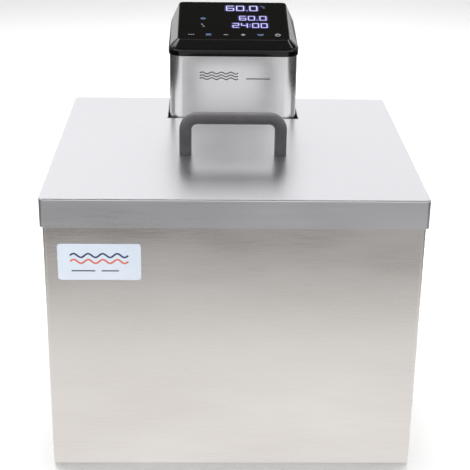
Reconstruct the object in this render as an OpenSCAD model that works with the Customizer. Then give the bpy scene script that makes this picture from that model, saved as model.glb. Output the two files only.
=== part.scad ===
// Sous vide water bath: insulated stainless bath, lipped lid with a notch and a bar handle,
// and an immersion circulator clamped on the bath's rear wall.
// Millimetres. +Z up, +X right, the user stands at -Y. The origin is on the floor under the
// middle of the whole object's bounding box.

/* [Bath] */
// Width of the lid, the widest part
bath_w = 360; // [350:5:390]
// Depth of the lid
bath_d = 340; // [330:5:370]
// Height of the lid's top face above the floor
lid_top = 285; // [285:5:300]
// Height of the lid's lip
lip_h = 28; // [24:1:30]
// How far the lid stands out beyond the bath on every side
lid_overhang = 2.4; // [2.2:0.1:4]
// Thickness of the insulated wall, from casing to liner
wall_t = 14; // [13:0.5:14]
// Height of the liner's floor above the floor
liner_floor = 24; // [22:1:40]
// Gap left under the bath by its feet
foot_gap = 3; // [2:0.5:5]

/* [Lid handle] */
// Distance between the handle's two feet, centre to centre
handle_span = 96; // [90:2:110]
// Diameter of the handle's bar
handle_bar = 12.4; // [11:0.2:13]
// Height of the bar's centre above the lid
handle_rise = 37.4; // [32:0.2:45]
// How far the handle stands in front of the bath's middle
handle_forward = 36.7; // [20:0.1:50]

/* [Circulator] */
// Width of the circulator's head
head_w = 140; // [138:1:144]
// Depth of the circulator's head
head_d = 115; // [114:1:118]
// Height of the head's steel sleeve
sleeve_h = 68; // [68:1:72]
// Corner radius of the steel sleeve
head_r = 14; // [12:1:16]
// Distance from the lid's rear edge forward to the head's front face
head_setback = 80.4; // [80:0.1:81]
// Tilt of the display
display_tilt = 14.1; // [13:0.1:15]
// Width of the display glass
glass_w = 121; // [118:1:121]
// Length of the guard around the pump and heater
guard_h = 187; // [187:1:195]

/* [Hidden] */
$fn = 48;
e = 0.1;                // overshoot of cutting bodies
gap = 0.1;              // gap between pieces that only meet
sheet = 1.2;            // stainless sheet of the bath and the lid

// ---- bath levels and outlines
knob_overhang = 39.6;                       // clamp knob behind the lid's rear edge
bath_y = -knob_overhang / 2;                // middle of the bath, from the frame's middle
casing_w = bath_w - 2 * lid_overhang;
casing_d = bath_d - 2 * lid_overhang;
casing_r = 4;
liner_w = casing_w - 2 * wall_t;            // inside of the liner
liner_d = casing_d - 2 * wall_t;
liner_r = 20;
lid_t = 12.9;                               // lid without its lip
rim_z = lid_top - lid_t - gap;              // the liner's rim, where the lid rests
casing_top = rim_z - sheet;
base_z = 8;                                 // underside of the base plate
foot_x = casing_w / 2 - 32;
foot_y = casing_d / 2 - 32;
foot_r = 14;
bolt4 = 1.95;                               // M4 shank in its nut

// ---- lid
lid_r = 5;
lid_z = lid_top - lid_t;                    // underside of the lid's liner
notch_gap = 2;                              // gap around the circulator's head
notch_w = head_w + 2 * notch_gap;
notch_y = bath_d / 2 - head_setback - notch_gap;    // front edge, from the bath's middle
bend_r = 12;                                // centre-line radius of the handle's bends
bolt5 = 2.45;                               // M5 shank in the handle

// ---- circulator head, measured from the middle of its underside
head_x = 2.4;                                // the head and its notch stand a little to the right
head_z = lid_top + 1;
head_y = bath_y + bath_d / 2 - head_setback + head_d / 2;
sleeve_t = 1;
skirt = 11;                                  // how far the sleeve reaches down into the notch
wall_in = bath_y + liner_d / 2 - head_y;    // liner's inner face, seen from the head
wall_out = bath_y + casing_d / 2 - head_y;  // casing's outer face, seen from the head
chassis_z = 0.4;
chassis_t = 2.5;
deck = chassis_z + chassis_t;               // top of the chassis plate
cap_out = 1.2;                              // the cap stands out this far from the sleeve
cap_z = sleeve_h + 0.6;
band_h = 7;                                 // upright band of the cap, at its front
band_rise = 10.4;                           // the band is this much taller at the back
glass_front = 15.4;                         // front edge of the display plane above cap_z
inset = 10.5;                               // from the head's front face to the display plane
plane_d = 94.6;                             // display plane, along its slope
plane_y = -head_d / 2 + inset + plane_d / 2 * cos(display_tilt);
plane_z = cap_z + glass_front + plane_d / 2 * sin(display_tilt);
glass_d = plane_d - 1.6;
glass_t = 1.4;
key_pitch = 19.1;                           // six touch keys along the display's front
key_y = -34.8;
board_drop = 9.5;                           // display board's underside below the glass
board_z = 51;                               // underside of the power board
board_top = board_z + 1.6;
board_post_x = 58;
board_post_y = [-38, 30];

// ---- rear panel
fan_x = -35;
fan_z = 34;
fan_w = 40;
fan_t = 10;
fan_y = head_d / 2 - sleeve_t - 0.2 - fan_t;        // front face of the fan's frame
fan_bore = 18.9;
inlet_x = 28;
inlet_z = 22;
inlet_body = [28, 20];
rocker_z = 47;
rocker_body = [18.8, 12.6];
rocker_tilt = 10;                           // rest tilt either side of the middle
rear = head_d / 2;                          // rear face of the sleeve
rocker_pivot_y = rear - 2.5;

// ---- immersion unit
guard_w = 112;
guard_d = 56;
guard_r = 10;
guard_y = wall_in - 5.2 - guard_d / 2;      // middle of the guard, seen from the head
guard_top = -3;
guard_t = 1.2;
plate_low = -2.8;                           // underside of the immersion plate
pump_x = -26;
shaft_r = 3;
run = 0.05;                                 // radial clearance of running fits
column_r = 8;
column_low = -158;
housing_r = 17;
housing_low = column_low - 26;
nozzle_r = 6;
coil_x = 22;
coil_r = 17;
tube_r = 3.5;
coil_low = -170;
coil_turns = 6;
coil_pitch = 12;
coil_bend = 8;
coil_end_z = coil_low + (coil_turns - 1 / 3) * coil_pitch;
leg_b = [coil_x + coil_r, guard_y + coil_bend];
probe_at = [-2, guard_y + 19.7];
level_at = [[-3, guard_y - 20.3, -150], [6, guard_y - 22.4, -60]];  // x, y, lower end
plate_screw_x = 50;
plate_screw_y = 21.5;

// ---- clamp
clamp_w = 76;
jaw_front = wall_in - 4.4;                  // front jaw's front face
jaw_front_t = 4;
jaw_rear = wall_out + 14.5;                 // rear jaw's front face
jaw_rear_t = 8;
bridge_low = rim_z + gap - head_z;
screw_z = -38;
screw_r = 4;
pad_y = wall_out + 0.4;
pad_t = 4;
knob_y = jaw_rear + jaw_rear_t + 1.6;
knob_end = bath_y + bath_d / 2 + knob_overhang - head_y;

// ---- shared shapes
module at_bath() { translate([0, bath_y, 0]) children(); }
module at_head() { translate([head_x, head_y, head_z]) children(); }
module at_display() { at_head() translate([0, plane_y, plane_z]) rotate([display_tilt, 0, 0]) children(); }
module at_pump() { at_head() translate([pump_x, guard_y, 0]) children(); }

// lay an outline drawn in X and Z against a plane at y, with its thickness towards the rear
module facing_rear(y, t) { translate([0, y + t, 0]) rotate([90, 0, 0]) linear_extrude(t) children(); }

module round_rect(w, d, r) {
    square([w - 2 * r, d], center = true);
    square([w, d - 2 * r], center = true);
    for (x = [-1, 1], y = [-1, 1]) translate([x * (w / 2 - r), y * (d / 2 - r)]) circle(r);
}

module round_ring(w, d, r, t) {
    difference() {
        round_rect(w, d, r);
        round_rect(w - 2 * t, d - 2 * t, r - t);
    }
}

module four(x, y) { for (i = [-1, 1], j = [-1, 1]) translate([i * x, j * y, 0]) children(); }

// pan-head screw, head up, shank down from z = 0
module pan_screw(head_r, head_h, shank_r, length) {
    difference() {
        cylinder(r = head_r, h = head_h);
        translate([-head_r * 0.6, -0.4, head_h * 0.5]) cube([head_r * 1.2, 0.8, head_h]);
        translate([-0.4, -head_r * 0.6, head_h * 0.5]) cube([0.8, head_r * 1.2, head_h]);
    }
    translate([0, 0, -length]) cylinder(r = shank_r, h = length + e);
}

// ---- bath
module outer_casing() color("silver") at_bath() {
    translate([0, 0, foot_gap]) linear_extrude(casing_top - foot_gap)
        round_ring(casing_w, casing_d, casing_r, sheet);
    translate([0, 0, casing_top - sheet]) linear_extrude(sheet)
        round_ring(casing_w, casing_d, casing_r, 3.9);
}

module tank_liner() color("lightgray") at_bath() {
    difference() {
        translate([0, 0, liner_floor - sheet]) linear_extrude(rim_z - liner_floor + sheet)
            round_rect(liner_w + 2 * sheet, liner_d + 2 * sheet, liner_r + sheet);
        translate([0, 0, liner_floor]) linear_extrude(rim_z)
            round_rect(liner_w, liner_d, liner_r);
    }
    translate([0, 0, casing_top]) linear_extrude(sheet) difference() {
        round_rect(casing_w, casing_d, casing_r);
        round_rect(liner_w + 1, liner_d + 1, liner_r + 0.5);
    }
}

module tank_insulation() color("khaki") at_bath() difference() {
    translate([0, 0, base_z + sheet + gap]) linear_extrude(casing_top - base_z - 2 * sheet - 2 * gap)
        round_rect(casing_w - 2 * sheet - 2 * gap, casing_d - 2 * sheet - 2 * gap, casing_r - sheet);
    translate([0, 0, liner_floor - sheet - gap]) linear_extrude(rim_z)
        round_rect(liner_w + 2 * sheet + 2 * gap, liner_d + 2 * sheet + 2 * gap, liner_r + sheet);
    four(foot_x, foot_y) translate([0, 0, base_z]) cylinder(r = 7, h = 7);
}

module base_plate() color("gray") at_bath() difference() {
    translate([0, 0, base_z]) linear_extrude(sheet)
        round_rect(casing_w - 2 * sheet - gap, casing_d - 2 * sheet - gap, casing_r - sheet);
    four(foot_x, foot_y) translate([0, 0, base_z - e]) cylinder(r = bolt4 + 0.3, h = sheet + 2 * e);
}

module feet() color("black") at_bath() four(foot_x, foot_y) difference() {
    cylinder(r1 = foot_r - 1.5, r2 = foot_r, h = base_z);
    translate([0, 0, -e]) cylinder(r = 5, h = base_z / 2 + e);
    cylinder(r = bolt4 + 0.25, h = base_z + e);
}

module foot_screws() color("silver") at_bath() four(foot_x, foot_y)
    translate([0, 0, base_z / 2]) rotate([180, 0, 0]) pan_screw(4.2, 2.6, bolt4, base_z / 2 + 5);

module foot_nuts() color("silver") at_bath() four(foot_x, foot_y)
    translate([0, 0, base_z + sheet]) difference() {
        cylinder(r = 4, h = 3.2, $fn = 6);
        translate([0, 0, -e]) cylinder(r = bolt4 + run, h = 3.2 + 2 * e);
    }

// blank rating label on the casing's front
module name_plate() color("aliceblue") at_bath() translate([-casing_w / 2 + 51.8, 0, 222])
    facing_rear(-casing_d / 2 - 0.4, 0.4) round_rect(77.5, 36.5, 3);

// ---- lid, drawn around the bath's middle
module notch(grow) {
    translate([head_x - notch_w / 2 - grow, notch_y - grow]) square([notch_w + 2 * grow, bath_d]);
}

module lid_skin() color("gainsboro") at_bath() {
    translate([0, 0, lid_top - sheet]) linear_extrude(sheet) difference() {
        round_rect(bath_w, bath_d, lid_r);
        notch(0);
        for (x = [-1, 1]) translate([x * handle_span / 2, -handle_forward]) circle(bolt5 + 0.3);
    }
    translate([0, 0, lid_top - lip_h]) linear_extrude(lip_h) difference() {
        round_ring(bath_w, bath_d, lid_r, sheet);
        notch(0);
    }
    translate([0, 0, lid_z]) linear_extrude(lid_t) difference() {
        intersection() {
            notch(sheet);
            round_rect(bath_w, bath_d, lid_r);
        }
        notch(0);
    }
}

module lid_liner() color("silver") at_bath() translate([0, 0, lid_z]) linear_extrude(sheet)
    difference() {
        round_rect(bath_w - 2 * sheet - 2 * gap, bath_d - 2 * sheet - 2 * gap, lid_r - sheet);
        notch(sheet + gap);
    }

module lid_insulation() color("khaki") at_bath() difference() {
    translate([0, 0, lid_z + sheet + gap]) linear_extrude(lid_t - 2 * sheet - 2 * gap) difference() {
        round_rect(bath_w - 2 * sheet - 4 * gap, bath_d - 2 * sheet - 4 * gap, lid_r - sheet);
        notch(sheet + 3 * gap);
    }
    for (x = [-1, 1]) translate([x * handle_span / 2, -handle_forward, lid_top - 7])
        cylinder(r = 8.5, h = 7);
}

// bar handle: two legs, two quarter bends and the bar, with a blind screw hole in each leg
module lid_handle() color("dimgray") at_bath() translate([0, -handle_forward, lid_top]) {
    bar_r = handle_bar / 2;
    straight = handle_span / 2 - bend_r;
    translate([-straight, 0, handle_rise]) rotate([0, 90, 0]) cylinder(r = bar_r, h = 2 * straight);
    for (s = [-1, 1]) {
        difference() {
            translate([s * handle_span / 2, 0, 0]) cylinder(r = bar_r, h = handle_rise - bend_r);
            translate([s * handle_span / 2, 0, -e]) cylinder(r = bolt5 + run, h = 18);
        }
        translate([s * straight, 0, handle_rise - bend_r]) rotate([90, 0, s > 0 ? 0 : 180])
            rotate_extrude(angle = 90) translate([bend_r, 0]) circle(bar_r);
    }
}

module handle_screws() color("silver") at_bath() for (x = [-1, 1])
    translate([x * handle_span / 2, -handle_forward, lid_top - sheet - 1.2])
        rotate([180, 0, 0]) pan_screw(4.5, 2.8, bolt5, 17);

module handle_washers() color("silver") at_bath() for (x = [-1, 1])
    translate([x * handle_span / 2, -handle_forward, lid_top - sheet - 1.1]) difference() {
        cylinder(r = 7.5, h = 1);
        translate([0, 0, -e]) cylinder(r = bolt5 + 0.2, h = 1 + 2 * e);
    }

// ---- head
module head_shell() color("silver") at_head() difference() {
    translate([0, 0, -skirt]) linear_extrude(sleeve_h + skirt)
        round_ring(head_w, head_d, head_r, sleeve_t);
    translate([inlet_x, 0, inlet_z]) facing_rear(rear - 2, 3)
        square([inlet_body.x + 0.4, inlet_body.y + 0.4], center = true);
    translate([inlet_x, 0, rocker_z]) facing_rear(rear - 2, 3)
        square([rocker_body.x + 0.4, rocker_body.y + 0.4], center = true);
    for (i = [-3:3]) translate([fan_x, 0, fan_z + i * 5]) facing_rear(rear - 2, 3)
        square([sqrt(fan_bore * fan_bore - i * i * 25) * 2, 2.4], center = true);
    for (x = [-50, 50]) translate([x, 0, 6]) facing_rear(rear - 2, 3) circle(1.7);
    for (x = [-20, 20]) translate([inlet_x + x, 0, inlet_z]) facing_rear(rear - 2, 3) circle(1.6);
}

module shell_screws() color("silver") at_head() for (x = [-50, 50])
    translate([x, rear, 6]) rotate([-90, 0, 0]) pan_screw(2.8, 1.6, 1.45, 6);

module chassis_plate() color("gray") at_head() {
    difference() {
        translate([0, 0, chassis_z]) linear_extrude(chassis_t) difference() {
            round_rect(head_w - 2 * sleeve_t - 0.4, head_d - 2 * sleeve_t - 0.4, head_r - 1.2);
            translate([pump_x, guard_y]) circle(column_r + 0.2);
            translate([coil_x, guard_y]) circle(tube_r + 0.2);
            translate(leg_b) circle(tube_r + 0.2);
            translate(probe_at) circle(2.7);
            for (p = level_at) translate([p.x, p.y]) circle(2.2);
            translate([0, guard_y]) four(plate_screw_x, plate_screw_y) circle(bolt4 + 0.15);
            translate([pump_x, guard_y]) for (a = [45:90:315]) rotate(a) translate([21, 0]) circle(1.6);
            for (x = [-28, 28], y = [jaw_front + 10, jaw_rear + 1]) translate([x, y])
                circle(bolt4 + 0.15);
            for (s = [-1, 1], i = [0:3]) translate([s * (46 + i * 5.5), 34])
                square([2.5, 20], center = true);
        }
    }
    for (x = [-50, 50]) difference() {
        translate([x - 6, rear - 3.3, deck - e]) cube([12, 2, 12 - deck]);
        translate([x, 0, 6]) facing_rear(rear - 4, 4) circle(1.5);
    }
}

// outline of the cap at a level, tilted about its front edge by the rise at its back
module cap_slice(w, d, r, z, rise) {
    translate([0, -d / 2, z]) rotate([atan2(rise, d), 0, 0]) translate([0, d / 2, 0])
        linear_extrude(0.01) round_rect(w, d, r, $fn = 32);
}

module cap_body(shrink, low) {
    w = head_w + 2 * cap_out - 2 * shrink;
    d = head_d + 2 * cap_out - 2 * shrink;
    r = head_r + cap_out - shrink;
    top = shrink > 0 ? 3.5 : 0;
    hull() {
        translate([0, 0, low]) linear_extrude(0.01) round_rect(w, d, r, $fn = 32);
        cap_slice(w, d, r, cap_z + band_h - shrink / 2, band_rise);
        translate([0, plane_y, plane_z]) rotate([display_tilt, 0, 0]) translate([0, 0, -top])
            linear_extrude(0.01) round_rect(glass_w + 2 - 2 * shrink, plane_d - 2 * shrink, 5, $fn = 32);
    }
}

// moulded cap: tapered shell, plug-in tongue, recess and window for the display, four bosses
module top_cap() color("black") {
    tongue_w = head_w - 2 * sleeve_t - 0.4;
    tongue_d = head_d - 2 * sleeve_t - 0.4;
    difference() {
        at_head() cap_body(0, cap_z);
        at_head() cap_body(2, cap_z + 2.4);
        at_head() translate([0, 0, cap_z - e]) linear_extrude(3)
            round_rect(tongue_w - 4, tongue_d - 4, head_r - 3.2);
        at_display() translate([0, 0, -glass_t - gap]) linear_extrude(glass_t + 1)
            round_rect(glass_w + 0.4, glass_d + 0.4, 4.2);
        at_display() translate([0, 0, -8]) linear_extrude(8) round_rect(106, 80, 3);
    }
    at_head() translate([0, 0, cap_z - 8]) linear_extrude(8 + e)
        round_ring(tongue_w, tongue_d, head_r - 1.2, 2);
    at_display() four(56, 38) translate([0, 0, gap - board_drop + 1.6])
        cylinder(r = 2, h = board_drop - 1.6 - 3);
}

module cap_gasket() color("dimgray") at_head() translate([0, 0, sleeve_h]) linear_extrude(cap_z - sleeve_h)
    round_ring(head_w - 0.6, head_d - 0.6, head_r - 0.3, 0.9);

module display_glass() color([0.18, 0.17, 0.16]) at_display() translate([0, 0, -glass_t])
    linear_extrude(glass_t) round_rect(glass_w, glass_d, 4);

module display_board() color("darkgreen") at_display() translate([0, 0, -board_drop])
    linear_extrude(1.6) difference() {
        round_rect(117, 84, 2);
        four(56, 38) circle(1.2);
    }

// three numeric modules: set point, water temperature and time
module led_modules() color("lavender") at_display()
    for (m = [[11, 31, 40, 16], [24, 6, 34, 13], [20, -12, 44, 13]])
        translate([m[0] - m[2] / 2, m[1] - m[3] / 2, gap - board_drop + 1.6])
            cube([m[2], m[3], board_drop - 1.6 - glass_t - 2 * gap]);

module touch_pads() color("silver") at_display() for (i = [0:5])
    translate([(i - 2.5) * key_pitch + 1, key_y, gap - board_drop + 1.6])
        cylinder(r = 3, h = board_drop - 1.6 - glass_t - 2 * gap);

module power_board() color("green") at_head() translate([0, 0, board_z]) linear_extrude(1.6)
    difference() {
        translate([0, -6]) round_rect(126, 88, 2);
        for (x = [-1, 1], y = board_post_y) translate([x * board_post_x, y]) circle(1.2);
    }

module board_posts() color("gold") at_head() for (x = [-1, 1], y = board_post_y)
    translate([x * board_post_x, y, deck]) {
        cylinder(r = 3, h = board_z - deck, $fn = 6);
        cylinder(r = 1.15, h = board_top - deck + 1.5);
    }

module transformer() color("goldenrod") at_head() translate([28, 16, board_top]) {
    difference() {
        translate([-18, -10, 0]) cube([36, 20, 26]);
        for (x = [-1, 1]) translate([x * 10.5 - 4, -11, 6]) cube([8, 22, 14]);
    }
    translate([-14.3, -13, 6.2]) cube([28.6, 26, 13.6]);
}

module relay() color("royalblue") at_head() translate([-14, -38, board_top]) cube([16, 28, 15]);

module capacitors() color("darkslategray") at_head()
    for (c = [[-48, -34, 8, 15], [-48, -14, 8, 16], [12, -34, 5, 14]])
        translate([c[0], c[1], board_top]) cylinder(r = c[2], h = c[3]);

module heat_sink() color("lightgray") at_head() translate([-58, 10, board_top]) {
    cube([44, 3, 24]);
    for (i = [0:6]) translate([i * 7.1, 0, 0]) cube([1.4, 18, 24]);
}

module triac() color("dimgray") at_head() translate([-41, 10 - gap - 4.6, board_top]) {
    translate([0, 0, 3]) cube([10, 4.6, 9]);
    translate([0, 3.3, 3]) cube([10, 1.3, 15]);
    for (i = [-1:1]) translate([5 + i * 2.54 - 0.4, 1.8, 0]) cube([0.8, 0.6, 3 + e]);
}

// ---- rear panel
module at_fan() { at_head() translate([fan_x, fan_y, fan_z]) rotate([-90, 0, 0]) children(); }

module fan_frame() color("black") at_fan() {
    difference() {
        linear_extrude(fan_t) round_rect(fan_w, fan_w, 3);
        translate([0, 0, -e]) cylinder(r = fan_bore, h = fan_t + 2 * e);
        four(16, 16) translate([0, 0, -e]) cylinder(r = 1.6, h = fan_t + 2 * e);
    }
    translate([0, 0, fan_t - 1.5]) cylinder(r = 8.5, h = 1.5);
    translate([0, 0, 2]) cylinder(r = 1.5, h = fan_t - 2.5);
    for (a = [30:120:270]) rotate(a) translate([8, -1.2, fan_t - 1.5]) cube([fan_bore - 7, 2.4, 1.5]);
}

module fan_rotor() color("dimgray") at_fan() difference() {
    union() {
        translate([0, 0, 0.5]) cylinder(r = 8.5, h = fan_t - 2.5);
        for (a = [0:360 / 7:359]) rotate(a) translate([7.5, 0, 4.2]) rotate([38, 0, 0])
            translate([0, -3.4, -0.5]) cube([10.2, 6.8, 1]);
    }
    translate([0, 0, 1.2]) cylinder(r = 1.5 + run, h = fan_t);
}

module inlet_outline(w, h, cut) {
    polygon([[-w / 2, -h / 2], [w / 2, -h / 2], [w / 2, h / 2 - cut], [w / 2 - cut, h / 2],
             [-w / 2 + cut, h / 2], [-w / 2, h / 2 - cut]]);
}

// three-pin appliance inlet with a screw flange
module power_inlet() color("black") at_head() translate([inlet_x, 0, inlet_z]) difference() {
    union() {
        facing_rear(rear + gap, 2) difference() {
            round_rect(48, 22.5, 4);
            for (x = [-20, 20]) translate([x, 0]) circle(1.7);
        }
        facing_rear(rear - 19, 19.2) inlet_outline(inlet_body.x, inlet_body.y, 6);
    }
    facing_rear(rear - 15.5, 20) inlet_outline(24.4, 16.8, 5);
    for (p = [[-7, -2.5], [7, -2.5], [0, 2.5]]) translate([p[0], 0, p[1]])
        facing_rear(rear - 20, 6) square([2.2, 4.2], center = true);
}

module inlet_pins() color("gold") at_head() translate([inlet_x, 0, inlet_z])
    for (p = [[-7, -2.5], [7, -2.5], [0, 2.5]]) translate([p[0], 0, p[1]])
        facing_rear(rear - 26, 23.5) square([2, 4], center = true);

module inlet_screws() color("silver") at_head() for (x = [-20, 20])
    translate([inlet_x + x, rear + 2 + gap, inlet_z]) rotate([-90, 0, 0]) pan_screw(2.8, 1.6, 1.45, 7);

module rocker_housing() color("black") at_head() translate([inlet_x, 0, rocker_z]) difference() {
    union() {
        facing_rear(rear + gap, 1.6) round_rect(21, 15, 1.5);
        facing_rear(rear - 15, 15.2) square(rocker_body, center = true);
    }
    facing_rear(rear - 7.5, 12) square([17, 10.4], center = true);
    translate([0, rocker_pivot_y, -rocker_body.y]) cylinder(r = 1 + run, h = 2 * rocker_body.y);
}

module rocker() color("black") at_head() translate([inlet_x, rocker_pivot_y, rocker_z])
    rotate([0, 0, -rocker_tilt]) {
        translate([0, 0, -5]) linear_extrude(10)
            polygon([[-7.2, -3], [7.2, -3], [7.5, 4.6], [0, 3.2], [-7.5, 4.6]]);
        translate([0, 0, -5.9]) cylinder(r = 1, h = 11.8);
    }

// ---- immersion unit
module immersion_plate() color("silver") at_head() translate([0, guard_y, 0]) {
    difference() {
        translate([0, 0, plate_low]) linear_extrude(0.3 - plate_low) difference() {
            round_rect(guard_w, guard_d, guard_r);
            translate([pump_x, 0]) circle(column_r + 0.1);
            translate([coil_x, 0]) circle(tube_r + 0.1);
            translate([leg_b.x, leg_b.y - guard_y]) circle(tube_r + 0.1);
            translate([probe_at.x, probe_at.y - guard_y]) circle(2.6);
            for (p = level_at) translate([p.x, p.y - guard_y]) circle(2.1);
            four(plate_screw_x, plate_screw_y) circle(bolt4 + run);
        }
    }
    difference() {
        translate([0, 0, -13]) linear_extrude(13 + plate_low + e)
            round_ring(guard_w - 2 * guard_t - 0.4, guard_d - 2 * guard_t - 0.4, guard_r - 1.4, 2);
        for (y = [-14, 14]) translate([-guard_w, y, -8]) rotate([0, 90, 0])
            cylinder(r = 1.5, h = 2 * guard_w);
    }
}

module plate_screws() color("silver") at_head() translate([0, guard_y, deck])
    four(plate_screw_x, plate_screw_y) pan_screw(3.8, 2.4, bolt4, deck + 2.4);

module motor() color("slategray") at_pump() difference() {
    union() {
        translate([0, 0, deck]) cylinder(r = 24, h = 2.5);
        translate([0, 0, deck + 2.4]) cylinder(r = 18, h = 36);
        translate([0, 0, deck + 38]) cylinder(r = 12, h = 3);
        for (x = [-7, 7]) translate([x - 1.4, -0.3, deck + 40]) cube([2.8, 0.6, 5]);
    }
    translate([0, 0, deck - e]) cylinder(r = shaft_r + run, h = 28);
    for (a = [45:90:315]) rotate(a) translate([21, 0, deck - e]) cylinder(r = 1.6, h = 3);
}

module motor_screws() color("silver") at_pump() for (a = [45:90:315])
    rotate(a) translate([21, 0, deck + 2.5]) pan_screw(2.6, 1.8, 1.45, 4.6);

module pump_shaft() color("lightsteelblue") at_pump() translate([0, 0, housing_low + 1])
    cylinder(r = shaft_r, h = deck + 25 - housing_low);

module pump_column() color("silver") at_pump() difference() {
    union() {
        translate([0, 0, column_low]) cylinder(r = column_r, h = deck - column_low);
        translate([0, 0, plate_low - gap - 3]) cylinder(r = 14, h = 3);
    }
    translate([0, 0, column_low - e]) cylinder(r = 5.5, h = deck - column_low + 2 * e);
}

module shaft_bush(z, h) {
    translate([0, 0, z]) difference() {
        cylinder(r = 5.45, h = h);
        translate([0, 0, -e]) cylinder(r = shaft_r + run, h = h + 2 * e);
    }
}

module shaft_bearing() color("white") at_pump() shaft_bush(column_low, 12);

module shaft_seal() color("dimgray") at_pump() shaft_bush(-4, 6);

module pump_housing() color("dimgray") at_pump() difference() {
    union() {
        translate([0, 0, housing_low]) cylinder(r = housing_r, h = column_low - housing_low);
        translate([0, 0, housing_low + 9]) rotate([90, 0, 0]) cylinder(r = nozzle_r, h = guard_d / 2 + 2.4);
    }
    translate([0, 0, housing_low - e]) cylinder(r = housing_r - 2, h = column_low - housing_low - 3 + e);
    translate([0, 0, housing_low + 9]) rotate([90, 0, 0]) cylinder(r = nozzle_r - 1.5, h = guard_d);
    translate([0, 0, column_low - 4]) cylinder(r = shaft_r + 0.4, h = 5);
}

module pump_cover() color("gray") at_pump() translate([0, 0, housing_low - 2]) difference() {
    cylinder(r = housing_r, h = 2);
    translate([0, 0, -e]) cylinder(r = 8, h = 2 + 2 * e);
}

module impeller() color("orange") at_pump() difference() {
    union() {
        translate([0, 0, housing_low + 2]) cylinder(r = 5, h = 16);
        translate([0, 0, housing_low + 16]) cylinder(r = 13.5, h = 2);
        for (a = [0:60:300]) rotate(a) translate([4, -0.6, housing_low + 3]) cube([9.5, 1.2, 13 + e]);
    }
    translate([0, 0, housing_low]) cylinder(r = shaft_r + 0.02, h = 20);
}

// centre line of the heater's tube: down the middle, out along a spiral, up the coil, up the leg
function bend_points(n) = [for (i = [1:n]) 90 * i / n];
function coil_path() = concat(
    [[0, 0, 9], [0, 0, coil_low + coil_bend]],
    [for (a = bend_points(5)) [coil_bend - coil_bend * cos(a), 0, coil_low + coil_bend - coil_bend * sin(a)]],
    [for (i = [1:8]) let (s = i / 8, r = coil_r - (coil_r - coil_bend) * pow(1 - s, 2))
        [r * cos(120 * s * s), r * sin(120 * s * s), coil_low]],
    [for (a = [120 + 22.5:22.5:coil_turns * 360]) let (k = (a - 120) / 360)
        [coil_r * cos(a), coil_r * sin(a), coil_low + coil_pitch * k]],
    [for (a = bend_points(5)) [coil_r, coil_bend * sin(a), coil_end_z + coil_bend - coil_bend * cos(a)]],
    [[coil_r, coil_bend, 9]]);

function unit(v) = v / norm(v);
// carries a ring's side direction from one point of the path to the next
function side_at(p, i, side) = unit(side - (side * tangent(p, i)) * tangent(p, i));
function tangent(p, i) = unit(p[min(i + 1, len(p) - 1)] - p[max(i - 1, 0)]);

module swept_tube(p, r, n) {
    sides = [for (i = 0, s = side_at(p, 0, [1, 0, 0]); i < len(p);
                  i = i + 1, s = i < len(p) ? side_at(p, i, s) : s) s];
    rings = [for (i = [0:len(p) - 1]) let (t = tangent(p, i), u = sides[i], v = cross(t, u))
        for (k = [0:n - 1]) p[i] + r * (u * cos(360 * k / n) + v * sin(360 * k / n))];
    last = (len(p) - 1) * n;
    polyhedron(rings, concat(
        [[for (k = [0:n - 1]) k]],
        [for (i = [0:len(p) - 2], k = [0:n - 1])
            [i * n + k, (i + 1) * n + k, (i + 1) * n + (k + 1) % n, i * n + (k + 1) % n]],
        [[for (k = [n - 1:-1:0]) last + k]]));
}

module heater_coil() color("slategray") at_head() translate([coil_x, guard_y, 0])
    swept_tube(coil_path(), tube_r, 10);

module heater_nuts() color("gold") at_head() for (p = [[coil_x, guard_y], leg_b])
    translate([p.x, p.y, deck]) difference() {
        cylinder(r = 6.5, h = 4, $fn = 6);
        translate([0, 0, -e]) cylinder(r = tube_r + 0.1, h = 4 + 2 * e);
    }

module temperature_probe() color("silver") at_head() translate([probe_at.x, probe_at.y, 0]) {
    translate([0, 0, -150]) cylinder(r = 2.5, h = 162);
    translate([0, 0, -150]) sphere(r = 2.5);
    translate([0, 0, deck + gap]) cylinder(r = 5, h = 4, $fn = 6);
}

module level_probes() color("silver") at_head() for (p = level_at) translate([p.x, p.y, 0]) {
    translate([0, 0, p.z]) cylinder(r = 2, h = 8 - p.z);
    translate([0, 0, deck + gap]) cylinder(r = 3.6, h = 3, $fn = 6);
}

// slotted sleeve around the pump and the heater, open at the bottom
module guard() color("lightgray") at_head() translate([0, guard_y, 0]) difference() {
    translate([0, 0, guard_top - guard_h]) linear_extrude(guard_h)
        round_ring(guard_w, guard_d, guard_r, guard_t);
    for (z = [-172:34:-70], i = [-4:4]) translate([i * 10.4 - 2.5, -guard_d, z]) cube([5, 2 * guard_d, 24]);
    for (z = [-172:34:-70], j = [-1:1]) translate([-guard_w, j * 11 - 2.5, z]) cube([2 * guard_w, 5, 24]);
    translate([pump_x, 0, housing_low + 9]) rotate([90, 0, 0]) cylinder(r = nozzle_r + 0.4, h = guard_d);
    for (y = [-14, 14]) translate([-guard_w, y, -8]) rotate([0, 90, 0]) cylinder(r = 1.7, h = 2 * guard_w);
}

module guard_screws() color("silver") at_head() for (s = [-1, 1], y = [-14, 14])
    translate([s * guard_w / 2, guard_y + y, -8]) rotate([0, s * 90, 0]) pan_screw(2.6, 1.4, 1.45, 4.2);

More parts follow.
